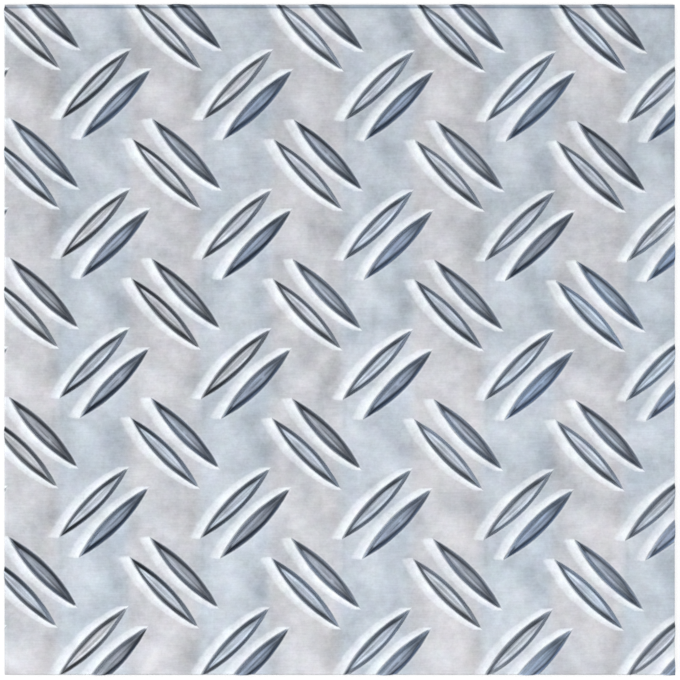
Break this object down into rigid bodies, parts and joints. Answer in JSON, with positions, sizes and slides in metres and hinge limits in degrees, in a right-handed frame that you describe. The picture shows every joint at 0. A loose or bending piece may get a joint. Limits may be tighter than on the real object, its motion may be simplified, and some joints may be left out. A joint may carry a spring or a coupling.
{
  "type": "aluminium tread sheet",
  "caption": "Square cut sheet of rolled aluminium with a flat back and pairs of raised, pointed bars on its face, set chequerwise at 45 degrees for grip.",
  "frame": {"origin": "middle of the flat back face, which lies on the floor", "axes": "+Z from the back to the tread face, +X along one pair of cut edges, +Y along the other pair; seen from above with +Y up, the flat-crowned bar of each pair is on the left"},
  "size_m": [0.2, 0.2, 0.004],
  "materials": {
    "mill_finish_aluminium": "bright rolled mill finish with soft blue-grey and warm grey mottling"
  },
  "bodies": {
    "root": {"tread_sheet": "mill_finish_aluminium"}
  },
  "joints": []
}
